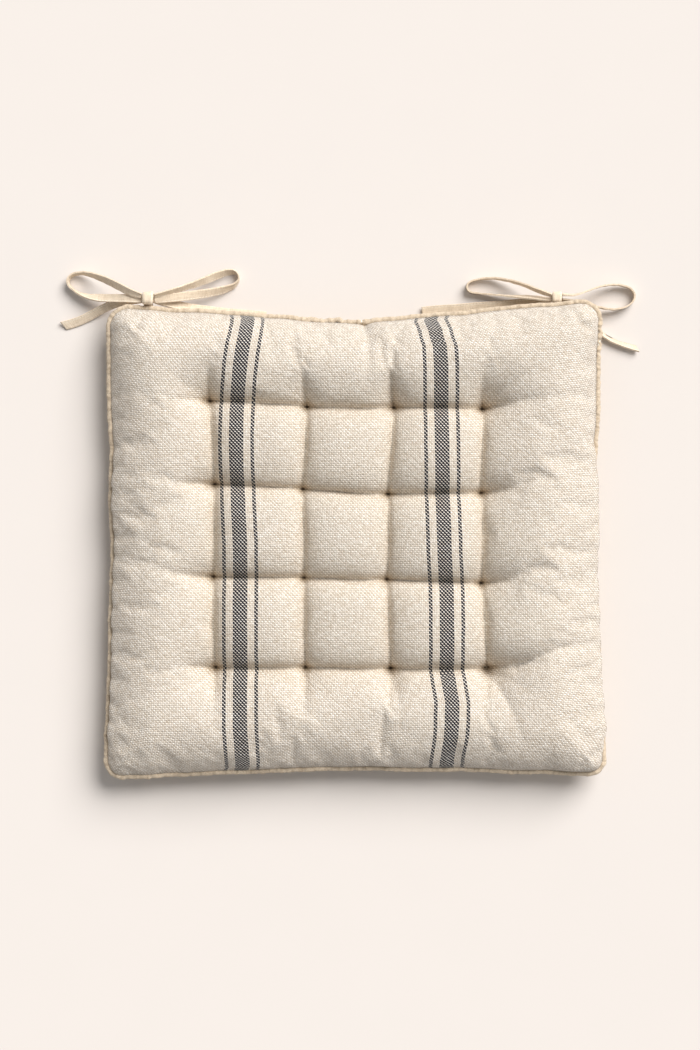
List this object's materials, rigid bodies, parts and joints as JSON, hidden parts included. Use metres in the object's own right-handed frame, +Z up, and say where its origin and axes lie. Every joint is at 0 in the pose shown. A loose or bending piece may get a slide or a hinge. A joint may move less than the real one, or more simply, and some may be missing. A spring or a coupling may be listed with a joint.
{
  "type": "chair seat pad",
  "caption": "Square tufted chair seat pad with a striped woven cotton top, fibre filling, corded piping and a tape bow tied at each back corner.",
  "frame": {"origin": "middle of the pad's footprint, without its ties, on the surface it lies on", "axes": "+X to the right along the back edge, +Y towards the back edge with the ties, +Z up out of the face"},
  "size_m": [0.4935, 0.4348, 0.05],
  "materials": {
    "striped_cloth": "matte",
    "plain_cloth": "matte",
    "piping_cloth": "matte",
    "fibre": "matte",
    "cotton_cord": "matte",
    "seam_thread": "matte",
    "tuft_thread": "matte",
    "tie_tape": "matte"
  },
  "bodies": {
    "pad": {"top_cover": "striped_cloth", "bottom_cover": "plain_cloth", "filling": "fibre", "piping_cover": "piping_cloth", "piping_cord": "cotton_cord", "seam_needle_thread": "seam_thread", "seam_bobbin_thread": "seam_thread", "tuft_thread_r1c1": "tuft_thread", "tuft_thread_r1c2": "tuft_thread", "tuft_thread_r1c3": "tuft_thread", "tuft_thread_r1c4": "tuft_thread", "tuft_thread_r2c1": "tuft_thread", "tuft_thread_r2c2": "tuft_thread", "tuft_thread_r2c3": "tuft_thread", "tuft_thread_r2c4": "tuft_thread", "tuft_thread_r3c1": "tuft_thread", "tuft_thread_r3c2": "tuft_thread", "tuft_thread_r3c3": "tuft_thread", "tuft_thread_r3c4": "tuft_thread", "tuft_thread_r4c1": "tuft_thread", "tuft_thread_r4c2": "tuft_thread", "tuft_thread_r4c3": "tuft_thread", "tuft_thread_r4c4": "tuft_thread", "left_tie_root": "tie_tape", "right_tie_root": "tie_tape", "left_tail_outer": "tie_tape", "left_tail_inner": "tie_tape", "right_tail_inner": "tie_tape", "right_tail_outer": "tie_tape"},
    "left_bow": {"left_knot": "tie_tape", "left_loop_outer": "tie_tape", "left_loop_inner": "tie_tape"},
    "right_bow": {"right_knot": "tie_tape", "right_loop_inner": "tie_tape", "right_loop_outer": "tie_tape"}
  },
  "joints": [
    {"name": "left_bow_swing", "type": "hinge", "parent": "pad", "child": "left_bow", "pos_m": [-0.1762, 0.2046, 0.028], "axis": [1, 0, 0], "range_deg": [0, 95]},
    {"name": "right_bow_swing", "type": "hinge", "parent": "pad", "child": "right_bow", "pos_m": [0.1717, 0.206, 0.019], "axis": [1, 0, 0], "range_deg": [0, 95]}
  ]
}
